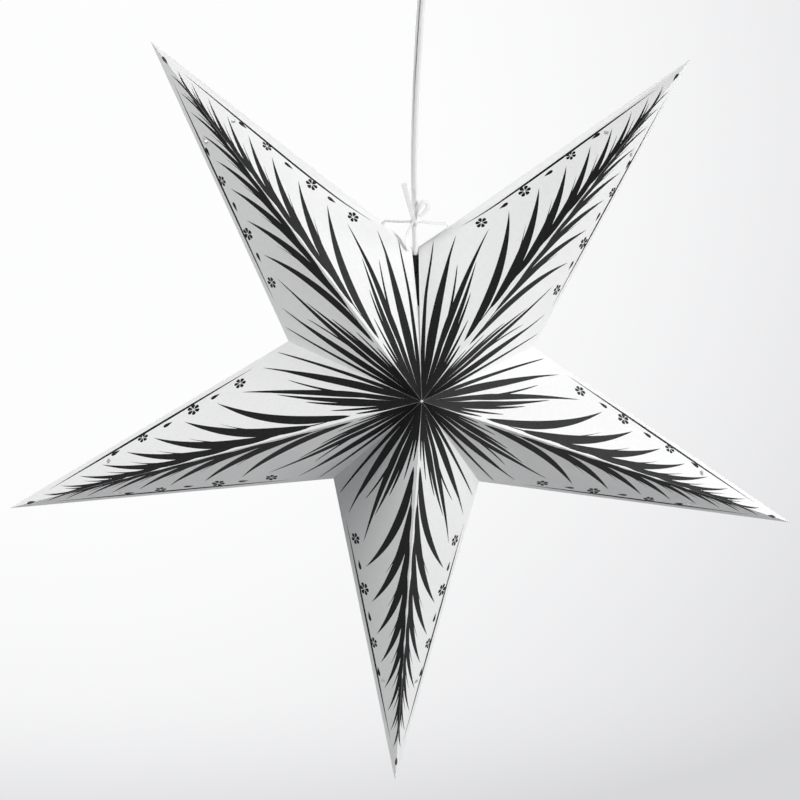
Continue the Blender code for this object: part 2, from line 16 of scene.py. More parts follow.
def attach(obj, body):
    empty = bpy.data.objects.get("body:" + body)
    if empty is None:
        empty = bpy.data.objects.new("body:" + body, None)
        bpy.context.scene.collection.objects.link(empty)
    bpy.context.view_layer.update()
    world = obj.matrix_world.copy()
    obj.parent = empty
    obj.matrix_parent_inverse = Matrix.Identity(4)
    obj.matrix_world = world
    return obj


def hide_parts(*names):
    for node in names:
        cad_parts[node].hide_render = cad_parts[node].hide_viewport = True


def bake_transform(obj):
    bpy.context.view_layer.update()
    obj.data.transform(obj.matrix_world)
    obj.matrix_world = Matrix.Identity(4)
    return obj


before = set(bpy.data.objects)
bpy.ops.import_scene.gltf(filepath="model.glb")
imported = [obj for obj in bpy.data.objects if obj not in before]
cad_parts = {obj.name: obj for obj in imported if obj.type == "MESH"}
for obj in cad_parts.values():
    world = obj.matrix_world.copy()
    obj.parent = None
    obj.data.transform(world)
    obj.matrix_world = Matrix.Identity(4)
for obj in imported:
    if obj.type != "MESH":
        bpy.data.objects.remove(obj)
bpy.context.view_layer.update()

MM = 0.001

# Star, repeated from the solids
ARM_COUNT = 5
TIP_RADIUS = 0.316
VALLEY_RADIUS = 0.096
HALF_DEPTH = 0.100
SEAM_ANGLE = math.radians(8)
SEAM_ANGLE_OPEN = math.radians(80)
STAR_CENTRE = Vector((0, 0, -0.340))
CARD_THICKNESS = 0.0004
PITCH_ANGLE = (2 * math.pi - SEAM_ANGLE) / ARM_COUNT
FRONT, BACK = -1, 1
LEFT, RIGHT = -1, 1
SIDE_NAMES = {LEFT: "left", RIGHT: "right"}
FACE_NAMES = {FRONT: "front", BACK: "back"}

# Flap along the seam, punched holes and tie holes
FLAP_WIDTH = 0.011
FLAP_START = 0.022
FLAP_END = 0.088
FLAP_TAPER = 0.009
PUNCH_RADIUS = 0.0027
PUNCH_SETBACK = 0.081
PUNCH_ACROSS_SHARE = 0.66
TIE_HOLE_RADIUS = 0.0019
TIE_HOLE_REACH = 0.026

# Card as drawn: gap left at a fold, width of a crease strip (worn, with a painted highlight), spacing of
# the warp's points
SCENE_FOLD_GAP = 0.00006
CREASE_WIDTH = 0.00045
WARP_SPACING = 0.0075
WARP_ROW_SHARE = 0.87
WARP_EDGE_SHARE = 0.4
WARP_HEIGHT = 0.0011
WARP_LENGTH = 0.070
WARP_MARGIN = 0.030
WARP_SEED_STEP = 3.1
MERGE_DISTANCE = 1e-7
WEAR_RADIUS = 0.0014

# The ribbon draws the card's corners at the seam in and up: half gap where the seam is closed and
# at its corners, lift of the corner by the way it is drawn, and how far the pull reaches
SEAM_HALF_GAPS = (0.00006, 0.0025)
SEAM_CLOSED_RADIUS = 0.064
SEAM_LIFTS = {1: 0.0020, -1: 0.0034}
SEAM_SWELLS = {1: 0.0040, -1: 0.0015}
SEAM_SWELL_ANGLE = math.radians(15)
SEAM_SWELL_FADE = math.radians(17)
SEAM_LIFT_RADIUS = 0.060
SEAM_PULL_ANGLE = math.radians(20)

# Flex, ceiling fitting and tie
CORD_TOP = -0.0343
CORD_BASE = STAR_CENTRE.z + 0.0913
LOBE_RADIUS = 0.00175
LOBE_SPACING = 0.0032
LOBE_STEPS = 22
SOFT_EDGE = 0.00015
SHARP_ANGLE = math.radians(34)
COLLAR_RADIUS = 0.0046
COLLAR_RISE = 0.0022
COLLAR_SINK = 0.0002
COLLAR_EDGE = 0.0005
COLLAR_STEPS = 6
COLLAR_SHARP_ANGLE = math.radians(35)
WELD_DISTANCE = 1e-6
KNOT_HEIGHT = 0.119
KNOT_FRONT = 0.0055

# Camera, as fitted to the photograph
CAMERA_DISTANCE = 2.0
CAMERA_AZIMUTH = math.radians(-4.965)
CAMERA_ELEVATION = math.radians(10.011)
CAMERA_ROLL = math.radians(2.133)
CAMERA_LENS = 119.42
CAMERA_SENSOR = 36.0
CAMERA_NEAR = 0.05
AIM = STAR_CENTRE - Vector((0.00710, 0, 0.01704))

# Wall behind the star: where it glows, in the camera's plane, and how it falls off
GLOW_PLACE = (-0.127, 0.102)
GLOW_RADIUS = math.radians(5.3)
GLOW_RATE = 1.98
LOW_START = math.radians(5.7)
LOW_RATE = 19.5
DARKEST_LEVEL = 0.85
DISPLAY_GAMMA = 2.27
WALL_DARK_POSITION = 0.55
WALL_DARK = (0.545, 0.546, 0.566, 1)
WALL_LIGHT = (0.984, 0.985, 0.992, 1)

# Studio light, in metres and watts, and the floor
LAMP_DISTANCE = 2.4
KEY_POWER = 48
FILL_POWER = 37
RIM_POWER = 13
BACK_POWER = 26
SURROUND_COLOUR = (0.95, 0.97, 1.0, 1)
SURROUND_STRENGTH = 0.175
FLOOR_RADIUS = 1.1
FLOOR_HEIGHT = -1.5


def direction(angle):
    """Unit vector in the star's plane, clockwise from the top as seen from the front."""
    return Vector((math.sin(angle), 0, math.cos(angle)))


def arm_angle(arm):
    """Angle of an arm's centre line, clockwise from the top."""
    return SEAM_ANGLE / 2 + PITCH_ANGLE * (arm - 0.5)


def new_piece(name, mesh, body, slot, materials, *replaced):
    """An object for a finished mesh, which rides on its body, if any, and may stand for nodes."""
    item = bpy.data.objects.new(name, mesh)
    bpy.context.scene.collection.objects.link(item)
    for material in materials:
        mesh.materials.append(material)
    if body:
        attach(item, body)
    if replaced:
        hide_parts(*replaced)
    return item


def smooth_route(points, steps):
    """Points on a smooth curve that passes through every given point."""
    route = []
    ends = [points[0] * 2 - points[1]] + points + [points[-1] * 2 - points[-2]]
    for index in range(1, len(ends) - 2):
        before, start, end, after = ends[index - 1:index + 3]
        for step in range(steps):
            share = step / steps
            blend = (2 * start + (end - before) * share
                     + (2 * before - 5 * start + 4 * end - after) * share ** 2
                     + (3 * start - before - 3 * end + after) * share ** 3)
            route.append(blend / 2)
    route.append(points[-1])
    return route


# Materials


def base_material(name, colour, roughness, metallic=0.0):
    """A Principled material, with its node tree and its shader."""
    material = bpy.data.materials.new(name)
    material.use_nodes = True
    tree = material.node_tree
    shader = tree.nodes["Principled BSDF"]
    shader.inputs["Base Color"].default_value = (*colour, 1)
    shader.inputs["Roughness"].default_value = roughness
    shader.inputs["Metallic"].default_value = metallic
    return material, tree, shader


def add_noise(tree, scale, detail=3.0, stretch=(1, 1, 1)):
    """A noise texture over the object's own coordinates, in features per metre."""
    place = tree.nodes.new("ShaderNodeTexCoord")
    mapping = tree.nodes.new("ShaderNodeMapping")
    mapping.inputs["Scale"].default_value = stretch
    texture = tree.nodes.new("ShaderNodeTexNoise")
    texture.inputs["Scale"].default_value = scale
    texture.inputs["Detail"].default_value = detail
    tree.links.new(place.outputs["Object"], mapping.inputs["Vector"])
    tree.links.new(mapping.outputs["Vector"], texture.inputs["Vector"])
    return texture.outputs["Fac"]


def vary_colour(tree, shader, source, dark, light, low=0.35, high=0.65):
    """Base colour that runs between two colours with a texture."""
    ramp = tree.nodes.new("ShaderNodeValToRGB")
    ramp.color_ramp.elements[0].position = low
    ramp.color_ramp.elements[0].color = (*dark, 1)
    ramp.color_ramp.elements[1].position = high
    ramp.color_ramp.elements[1].color = (*light, 1)
    tree.links.new(source, ramp.inputs["Fac"])
    tree.links.new(ramp.outputs["Color"], shader.inputs["Base Color"])


def vary_roughness(tree, shader, source, low, high):
    """Roughness that runs between two values with a texture."""
    spread = tree.nodes.new("ShaderNodeMapRange")
    spread.inputs["To Min"].default_value = low
    spread.inputs["To Max"].default_value = high
    tree.links.new(source, spread.inputs["Value"])
    tree.links.new(spread.outputs["Result"], shader.inputs["Roughness"])


def add_bump(tree, shader, source, depth, strength=1.0):
    """Bump from a texture, with its depth in metres."""
    bump = tree.nodes.new("ShaderNodeBump")
    bump.inputs["Distance"].default_value = depth
    bump.inputs["Strength"].default_value = strength
    tree.links.new(source, bump.inputs["Height"])
    tree.links.new(bump.outputs["Normal"], shader.inputs["Normal"])


def card_material(name, dark, light, roughness, grain_depth, specular=0.5):
    """Matt card with a fine grain and faint clouds."""
    material, tree, shader = base_material(name, light, roughness)
    shader.inputs["Specular IOR Level"].default_value = specular
    vary_colour(tree, shader, add_noise(tree, 420, 6), dark, light)
    grain = add_noise(tree, 2600, 4)
    vary_roughness(tree, shader, grain, roughness - 0.07, roughness + 0.07)
    add_bump(tree, shader, grain, grain_depth)
    return material


def painted_glow(material, strength):
    """Painted glow: a little light of the card's own, in place of the daylight that comes through it."""
    shader = material.node_tree.nodes["Principled BSDF"]
    shader.inputs["Emission Color"].default_value = (1.0, 1.0, 1.0, 1)
    shader.inputs["Emission Strength"].default_value = strength
    material.cycles.emission_sampling = "NONE"


def plastic_material(name, colour, roughness, grain=900, depth=0.00002, specular=0.5):
    """Moulded plastic with a faint surface ripple."""
    material, tree, shader = base_material(name, colour, roughness)
    shader.inputs["Specular IOR Level"].default_value = specular
    ripple = add_noise(tree, grain, 2)
    dark = tuple(part * 0.94 for part in colour)
    vary_colour(tree, shader, ripple, dark, colour)
    vary_roughness(tree, shader, ripple, roughness * 0.85, roughness * 1.15)
    add_bump(tree, shader, ripple, depth)
    return material


def metal_material(name, dark, light, roughness):
    """Rolled metal with faint drawing marks round it."""
    material, tree, shader = base_material(name, light, roughness, 1.0)
    marks = add_noise(tree, 500, 4, (1, 1, 9))
    vary_colour(tree, shader, marks, dark, light)
    vary_roughness(tree, shader, marks, roughness * 0.8, roughness * 1.3)
    add_bump(tree, shader, marks, 0.00001)
    return material


def ribbon_material():
    """Woven cotton tape: fine ribs along and across."""
    material, tree, shader = base_material("woven_tape", (0.84, 0.84, 0.83), 0.8)
    place = tree.nodes.new("ShaderNodeTexCoord")
    weave = tree.nodes.new("ShaderNodeTexWave")
    weave.wave_type = "BANDS"
    weave.bands_direction = "DIAGONAL"
    weave.inputs["Scale"].default_value = 260
    weave.inputs["Distortion"].default_value = 1.4
    weave.inputs["Detail"].default_value = 2
    tree.links.new(place.outputs["Object"], weave.inputs["Vector"])
    vary_colour(tree, shader, weave.outputs["Fac"], (0.80, 0.80, 0.795), (0.87, 0.87, 0.865),
                0.0, 1.0)
    add_bump(tree, shader, weave.outputs["Fac"], 0.00008, 0.5)
    shader.inputs["Sheen Weight"].default_value = 0.25
    return material


def glass_material():
    """Opal glass of the bulb, white and a little see-through."""
    material, tree, shader = base_material("opal_glass", (0.90, 0.90, 0.88), 0.12)
    cloud = add_noise(tree, 140, 3)
    vary_colour(tree, shader, cloud, (0.86, 0.86, 0.84), (0.91, 0.91, 0.90))
    vary_roughness(tree, shader, cloud, 0.08, 0.18)
    shader.inputs["Transmission Weight"].default_value = 0.35
    shader.inputs["Coat Weight"].default_value = 0.5
    return material


# Painted glow: the card's inner face gives off light of its own, though it is no lamp
PAINTED_INSIDE_GLOW = 0.10
PAPER = card_material("card_white", (0.845, 0.845, 0.84), (0.875, 0.875, 0.87), 0.82, 0.00003)
INSIDE = card_material("card_inside", (0.80, 0.80, 0.795), (0.84, 0.84, 0.835), 0.85, 0.00003)
painted_glow(INSIDE, PAINTED_INSIDE_GLOW)
# Crease strips on the white card: wear, and a painted highlight along the folds
CREASE_WEAR_AND_HIGHLIGHT = card_material("card_crease_wear_and_highlight", (0.83, 0.83, 0.825), (0.90, 0.90, 0.895), 0.9, 0.00006)
INK = card_material("print_black", (0.0045, 0.0045, 0.0048), (0.010, 0.010, 0.0105), 0.40,
                    0.00003, 0.09)
# Crease strips on the print: worn ink, and a painted sheen along the folds
INK_WEAR_AND_SHEEN = card_material("print_worn_and_painted_sheen", (0.012, 0.012, 0.0125), (0.060, 0.060, 0.062), 0.7,
                           0.00006, 0.14)
TAPE = ribbon_material()
FLEX = plastic_material("flex_sheath", (0.80, 0.80, 0.79), 0.38, 700, 0.00004)
# Painted shade: near-black plastic on the faces at the flex's groove, for the shade that falls there
FLEX_GROOVE_SHADE = plastic_material("flex_groove_painted_shade", (0.05, 0.05, 0.05), 0.6, 700, 0.00004)
BLACK = plastic_material("black_phenolic", (0.009, 0.009, 0.010), 0.22, 500, 0.00001, 0.30)
FITTING = plastic_material("white_fitting", (0.82, 0.82, 0.81), 0.32, 300, 0.00002)
CERAMIC = plastic_material("glazed_ceramic", (0.82, 0.80, 0.75), 0.3, 600, 0.00004)
BRASS = metal_material("rolled_brass", (0.66, 0.46, 0.19), (0.80, 0.60, 0.28), 0.28)
NICKEL = metal_material("plated_nickel", (0.56, 0.55, 0.53), (0.70, 0.69, 0.67), 0.24)
GLASS = glass_material()
CARD_MATERIALS = (PAPER, INK, CREASE_WEAR_AND_HIGHLIGHT, INK_WEAR_AND_SHEEN, INSIDE)
PAPER_INDEX, INK_INDEX, CREASE_WEAR_AND_HIGHLIGHT_INDEX, INK_WEAR_AND_SHEEN_INDEX, INSIDE_INDEX = range(5)


# Card panels


def panel_plane():
    """Corners and axes of one card panel, its arm along X, its side to +Y, its face to +Z."""
    apex = Vector((0, 0, HALF_DEPTH))
    tip = Vector((TIP_RADIUS, 0, 0))
    half = PITCH_ANGLE / 2
    valley = Vector((VALLEY_RADIUS * math.cos(half), VALLEY_RADIUS * math.sin(half), 0))
    along = (tip - apex).normalized()
    across = (valley - apex) - along * (valley - apex).dot(along)
    across.normalize()
    return apex, tip, valley, along, across, along.cross(across)


APEX, TIP, VALLEY, ALONG, ACROSS, OUTWARD = panel_plane()


def flat(point):
    """Place of a point on the panel in the panel's own plane."""
    return Vector(((point - APEX).dot(ALONG), (point - APEX).dot(ACROSS)))


CORNERS = [flat(point) for point in (APEX, TIP, VALLEY)]
RIDGE_LENGTH = CORNERS[1].x


def fold_angles(half_angle):
    """Half of the inside angle at the ridge, the outline fold and the valley fold."""
    rest = PITCH_ANGLE / 2
    outline = (TIP_RADIUS ** 2 + VALLEY_RADIUS ** 2
               - 2 * TIP_RADIUS * VALLEY_RADIUS * math.cos(rest))
    spread = TIP_RADIUS ** 2 - VALLEY_RADIUS ** 2
    root = math.sqrt(outline ** 2 - (spread * math.sin(half_angle)) ** 2)
    ratio = (spread * math.cos(half_angle) + root) / (spread - outline)
    valley_radius = math.sqrt(spread / (ratio ** 2 - 1))
    depth = math.sqrt(VALLEY_RADIUS ** 2 + HALF_DEPTH ** 2 - valley_radius ** 2)
    apex = Vector((0, -depth, 0))
    tip = Vector((0, 0, ratio * valley_radius))
    valley = valley_radius * direction(half_angle)
    normal = (tip - apex).cross(valley - apex).normalized()
    middle = Vector((math.cos(half_angle), 0, -math.sin(half_angle)))
    return (math.pi / 2 - math.asin(abs(normal.x)), math.acos(abs(normal.y)),
            math.pi / 2 - math.asin(abs(normal.dot(middle))))


def fold_insets():
    """Insets of the outer and the inner face at the ridge, the outline and the valley fold."""
    rest = fold_angles(PITCH_ANGLE / 2)
    opened = fold_angles((2 * math.pi - SEAM_ANGLE_OPEN) / (2 * ARM_COUNT))
    sharpest = [min(pair) for pair in zip(rest, opened)]
    half_gap = SCENE_FOLD_GAP / 2
    outer = [half_gap / math.sin(fold) for fold in sharpest]
    inner = [(CARD_THICKNESS * math.cos(fold) + half_gap) / math.sin(fold) for fold in sharpest]
    inner[2] = outer[2]
    return outer, inner


def inset_corners(insets):
    """Corners of the panel after each of its edges has moved in by its own inset."""
    moved = []
    for index, corner in enumerate(CORNERS):
        before = (CORNERS[index - 1] - corner).normalized()
        after = (CORNERS[(index + 1) % 3] - corner).normalized()
        sine = abs(before.cross(after))
        moved.append(corner + (before * insets[index] + after * insets[index - 1]) / sine)
    return moved


def punch_outline():
    """Outline of the punched hole beside the ridge."""
    half = PITCH_ANGLE / 2
    along = VALLEY_RADIUS * math.cos(half)
    across = VALLEY_RADIUS * math.sin(half)
    half_width = across * PUNCH_SETBACK / (TIP_RADIUS - along)
    point = Vector((TIP_RADIUS - PUNCH_SETBACK, half_width * PUNCH_ACROSS_SHARE, 0))
    point.z = OUTWARD.dot(APEX - point) / OUTWARD.z
    centre = flat(point)
    return ring(centre, PUNCH_RADIUS, 28)


def ring(centre, radius, steps, squeeze=1.0):
    """A closed round outline."""
    turns = [2 * math.pi * step / steps for step in range(steps)]
    return [centre + Vector((math.cos(turn), math.sin(turn) * squeeze)) * radius for turn in turns]


def tie_notch(outer):
    """Points of the half hole in the outline fold, from its tip side to its valley side."""
    run = (outer[1] - outer[2]).normalized()
    inward = Vector((-run.y, run.x))
    if inward.dot(outer[0] - outer[1]) < 0:
        inward = -inward
    depth = TIE_HOLE_RADIUS / math.sin(fold_angles(PITCH_ANGLE / 2)[1])
    centre = outer[2] + run * TIE_HOLE_REACH
    steps = 12
    return [centre + run * TIE_HOLE_RADIUS * math.cos(math.pi * step / steps)
            + inward * depth * math.sin(math.pi * step / steps) for step in range(steps + 1)]


def flap_outline(outer):
    """Corners of the seam flap, beyond the valley fold, from the valley end to the apex end."""
    run = (CORNERS[2] - CORNERS[0]).normalized()
    beyond = Vector((-run.y, run.x))
    base = outer[0] - run * outer[0].dot(run)
    return [run * FLAP_END + base, run * (FLAP_END - FLAP_TAPER) + beyond * FLAP_WIDTH,
            run * (FLAP_START + FLAP_TAPER) + beyond * FLAP_WIDTH, run * FLAP_START + base]


def panel_outline(outer, has_tie, has_flap):
    """Outline of a panel's outer face, from the apex along the ridge and round."""
    outline = [outer[0], outer[1]]
    if has_tie:
        outline += tie_notch(outer)
    outline.append(outer[2])
    if has_flap:
        outline += flap_outline(outer)
    return outline


# Printed ornament: blades that burst from the apex and a frond of leaves on each ridge. A place is
# a share of the ridge's length, and a share of the way from the ridge across to the next fold
PANEL_ANGLE = math.atan2(CORNERS[2].y, CORNERS[2].x)
BLADE_END_SHARES = ((0.155, 0.10), (0.215, 0.22), (0.275, 0.355), (0.345, 0.485), (0.318, 0.592),
                    (0.430, 0.700), (0.352, 0.790), (0.380, 0.868), (0.345, 0.955))
BLADE_WIDTHS = (3.0 * MM, 3.6 * MM, 4.6 * MM, 6.4 * MM, 2.8 * MM, 7.4 * MM, 3.0 * MM, 6.2 * MM,
                3.6 * MM)
BLADE_JOINS = (48 * MM, 37 * MM, 44 * MM, 33 * MM, 38 * MM, 37 * MM, 36 * MM, 36 * MM, 42 * MM)
BLADE_CONTROL_SHARE = 0.55
BLADE_OVERLAP = 1.08
LEAF_SHARES = ((0.165, 0.490, 0.72), (0.255, 0.570, 0.69), (0.345, 0.645, 0.67),
               (0.432, 0.712, 0.65), (0.516, 0.773, 0.63), (0.596, 0.828, 0.60),
               (0.672, 0.876, 0.56), (0.744, 0.918, 0.48))
LEAF_WIDTHS = (7.4 * MM, 7.8 * MM, 7.2 * MM, 6.2 * MM, 5.0 * MM, 4.0 * MM, 3.0 * MM, 2.2 * MM)
LEAF_BOW_SHARE = 0.15
LEAF_SETBACK_SHARE = 0.011
LINE_SHARES = (0.052, -0.010, 0.56)
LINE_WIDTH = 1.7 * MM
BLOSSOM_SHARES = ((0.434, 0.825), (0.548, 0.810), (0.672, 0.790))
BLOSSOM_RADII = (4.6 * MM, 5.0 * MM, 4.2 * MM)
BLOSSOM_PETALS = 6
DROP_SHARES = ((0.494, 0.830), (0.610, 0.790), (0.738, 0.770))
DROP_LENGTH = 8 * MM
DROP_WIDTH = 3.6 * MM
EDGE_LINE_SHARES = ((0.400, 0.930), (0.640, 0.880), (0.905, 0.600))
EDGE_LINE_WIDTH = 2.2 * MM
TIP_DROP_SHARE = 0.945
TIP_DROP_LENGTH = 8 * MM
TIP_DROP_WIDTH = 3.6 * MM


def half_width_at(along):
    """Distance from the ridge to the next fold, square to the ridge, at a distance along it."""
    if along < CORNERS[2].x:
        return along * CORNERS[2].y / CORNERS[2].x
    return CORNERS[2].y * (RIDGE_LENGTH - along) / (RIDGE_LENGTH - CORNERS[2].x)


def on_panel(along_share, across_share):
    """Place on the panel from a share of the ridge and a share of the way across."""
    along = along_share * RIDGE_LENGTH
    return Vector((along, half_width_at(along) * across_share))


def bent(start, control, end, steps):
    """Points on a quadratic curve."""
    points = []
    for step in range(steps + 1):
        share = step / steps
        points.append(start * (1 - share) ** 2 + control * 2 * share * (1 - share)
                      + end * share ** 2)
    return points


def blade(spine, half_width):
    """Outline of a blade along a spine, its half width a function of the share along it."""
    left, right = [], []
    last = len(spine) - 1
    for index, point in enumerate(spine):
        run = spine[min(index + 1, last)] - spine[max(index - 1, 0)]
        side = Vector((-run.y, run.x)).normalized() * half_width(index / last, point)
        left.append(point + side)
        right.append(point - side)
    return left[:-1] + [spine[-1]] + list(reversed(right[1:-1])) + [spine[0]]


def burst_blade(index):
    """One tapered blade from the apex, which touches its neighbours near the apex."""
    pitch = PANEL_ANGLE / len(BLADE_END_SHARES)
    angle = pitch * (index + 0.5)
    end = on_panel(*BLADE_END_SHARES[index])
    control = Vector((math.cos(angle), math.sin(angle))) * end.length * BLADE_CONTROL_SHARE
    half_pitch = math.tan(pitch / 2) * BLADE_OVERLAP
    root = half_pitch * BLADE_JOINS[index]
    widest = BLADE_WIDTHS[index] / 2

    def half_width(share, point):
        swollen = root + max(widest - root, 0) * math.sin(math.pi * share)
        return min(point.length * half_pitch, swollen * (1 - share) ** 0.5)

    return blade(bent(Vector((0, 0)), control, end, 26), half_width)


def lens(start, control, end, width, steps=14):
    """A thin blade that is pointed at both ends."""

    def half_width(share, _):
        return width / 2 * math.sin(math.pi * share) ** 0.8 if 0 < share < 1 else 0

    return blade(bent(start, control, end, steps), half_width)


def leaf(start, end, width):
    """A curved leaf that is widest near its root."""
    run = end - start
    side = Vector((run.y, -run.x))
    spine = bent(start, start + run * 0.5 + side * LEAF_BOW_SHARE, end, 22)

    def half_width(share, _):
        return width / 2 * math.sin(math.pi * share ** 0.72) ** 0.9 if 0 < share < 1 else 0

    return blade(spine, half_width)


def drop(centre, run, length, width):
    """A drop with its point forwards."""
    run = run.normalized()
    side = Vector((-run.y, run.x))
    outline = []
    steps = 20
    for step in range(steps):
        turn = 2 * math.pi * step / steps
        narrow = math.sin(turn) * math.sin(turn / 2) ** 1.5
        outline.append(centre + run * math.cos(turn) * length / 2 + side * narrow * width * 0.62)
    return outline


def blossom(centre, radius, lean):
    """A round flower with separate rounded petals."""
    petals = []
    for number in range(BLOSSOM_PETALS):
        turn = lean + 2 * math.pi * number / BLOSSOM_PETALS
        run = Vector((math.cos(turn), math.sin(turn)))
        petals.append(drop(centre + run * radius * 0.56, -run, radius * 0.92, radius * 0.72))
    return petals


def ornament():
    """Every printed shape of one panel, as closed outlines."""
    shapes = [burst_blade(index) for index in range(len(BLADE_END_SHARES))]
    start_shift, end_shift, across_part = LINE_SHARES
    for (start_share, end_share, across_share), width in zip(LEAF_SHARES, LEAF_WIDTHS):
        setback = Vector((0, LEAF_SETBACK_SHARE * RIDGE_LENGTH))
        leaf_end = on_panel(end_share, across_share)
        shapes.append(leaf(on_panel(start_share, 0) + setback, leaf_end, width))
        line_end = on_panel(end_share + end_shift, across_share * across_part)
        shapes.append(leaf(on_panel(start_share + start_shift, 0) + setback, line_end, LINE_WIDTH))
    edge = [on_panel(*shares) for shares in EDGE_LINE_SHARES]
    shapes.append(lens(edge[0], edge[1], edge[2], EDGE_LINE_WIDTH, 40))
    run = edge[0] - edge[2]
    for shares in DROP_SHARES:
        shapes.append(drop(on_panel(*shares), run, DROP_LENGTH, DROP_WIDTH))
    for number, shares in enumerate(BLOSSOM_SHARES):
        shapes += blossom(on_panel(*shares), BLOSSOM_RADII[number], 0.4 * number)
    tip = on_panel(TIP_DROP_SHARE, 0)
    shapes.append(drop(tip, Vector((-1, 0)), TIP_DROP_LENGTH, TIP_DROP_WIDTH))
    return shapes


def anticlockwise(outline):
    """The same outline, turned round if it runs clockwise."""
    area = sum(one.cross(two) for one, two in zip(outline, outline[1:] + outline[:1]))
    return outline if area > 0 else list(reversed(outline))


def apex_wear():
    """A small patch at the apex where the print has rubbed off."""
    return ring(CORNERS[0], WEAR_RADIUS, 9, 0.7)


def crease_strips(outer):
    """Narrow strips along the ridge, the outline fold and the valley fold: wear with a painted
    highlight.
    """
    inner = inset_corners([CREASE_WIDTH] * 3)
    return [[outer[index], outer[(index + 1) % 3], inner[(index + 1) % 3], inner[index]]
            for index in range(3)]


def edge_distance(point):
    """Distance of a point on the panel from its nearest fold."""
    nearest = RIDGE_LENGTH
    for index, corner in enumerate(CORNERS):
        run = (CORNERS[(index + 1) % 3] - corner).normalized()
        nearest = min(nearest, abs(run.cross(point - corner)))
    return nearest


def warp_points(outer):
    """A light grid of points inside the panel, to carry its warp."""
    points = []
    rows = int(CORNERS[2].y / WARP_SPACING) + 1
    for row in range(1, rows):
        shift = WARP_SPACING / 2 if row % 2 else 0.0
        for column in range(int(RIDGE_LENGTH / WARP_SPACING) + 1):
            point = Vector((column * WARP_SPACING + shift, row * WARP_SPACING * WARP_ROW_SHARE))
            sides = [(outer[(index + 1) % 3] - corner).cross(point - corner)
                     for index, corner in enumerate(outer)]
            if min(sides) > 0 and edge_distance(point) > WARP_SPACING * WARP_EDGE_SHARE:
                points.append(point)
    return points


def triangulated(has_tie, has_flap):
    """Points and triangles of a panel's outer face, each triangle with its material index."""
    outer = inset_corners(fold_insets()[0])
    regions = [panel_outline(outer, has_tie, has_flap), punch_outline()]
    strips = crease_strips(outer)
    regions += strips + [apex_wear()]
    regions += ornament()
    first_shape = 3 + len(strips)
    points = []
    faces = []
    for outline in regions:
        faces.append(list(range(len(points), len(points) + len(outline))))
        points += anticlockwise(outline)
    points += warp_points(outer)
    places, _, triangles, _, _, owners = delaunay_2d_cdt(points, [], faces, 0,
                                                               MERGE_DISTANCE)
    kept = []
    for triangle, owner in zip(triangles, owners):
        if 0 not in owner or 1 in owner:
            continue
        # Crease strips and the apex patch: wear, and on the strips a painted highlight and sheen
        worn_and_highlit = any(2 <= number < first_shape for number in owner)
        inked = any(number >= first_shape for number in owner) and first_shape - 1 not in owner
        if worn_and_highlit:
            index = INK_WEAR_AND_SHEEN_INDEX if inked else CREASE_WEAR_AND_HIGHLIGHT_INDEX
        else:
            index = INK_INDEX if inked else PAPER_INDEX
        kept.append((triangle, index))
    return places, kept, outer


def smooth_step(value):
    """A share that starts and ends gently, kept between 0 and 1."""
    value = min(max(value, 0.0), 1.0)
    return value * value * (3 - 2 * value)


def drawn_in(point, pull):
    """A point of a card beside the seam, drawn in by the ribbon. It goes along X by pull's sign."""
    if not pull:
        return point
    offset = point - STAR_CENTRE
    radius = math.hypot(offset.x, offset.z)
    angle = abs(math.atan2(offset.x, offset.z))
    beside = 1 - smooth_step((angle - SEAM_ANGLE / 2) / SEAM_PULL_ANGLE)
    open_part = smooth_step((radius - SEAM_CLOSED_RADIUS) / (VALLEY_RADIUS - SEAM_CLOSED_RADIUS))
    half_gap = SEAM_HALF_GAPS[0] + (SEAM_HALF_GAPS[1] - SEAM_HALF_GAPS[0]) * open_part
    inward = max(radius * math.tan(SEAM_ANGLE / 2) - half_gap, 0.0)
    swell = smooth_step(angle / SEAM_SWELL_ANGLE)
    swell *= 1 - smooth_step((angle - SEAM_SWELL_ANGLE) / SEAM_SWELL_FADE)
    outer_part = smooth_step((radius - SEAM_LIFT_RADIUS) / (VALLEY_RADIUS - SEAM_LIFT_RADIUS))
    rise = (SEAM_LIFTS[pull] * beside + SEAM_SWELLS[pull] * swell) * outer_part
    return point + Vector((inward * pull * beside, 0, rise))


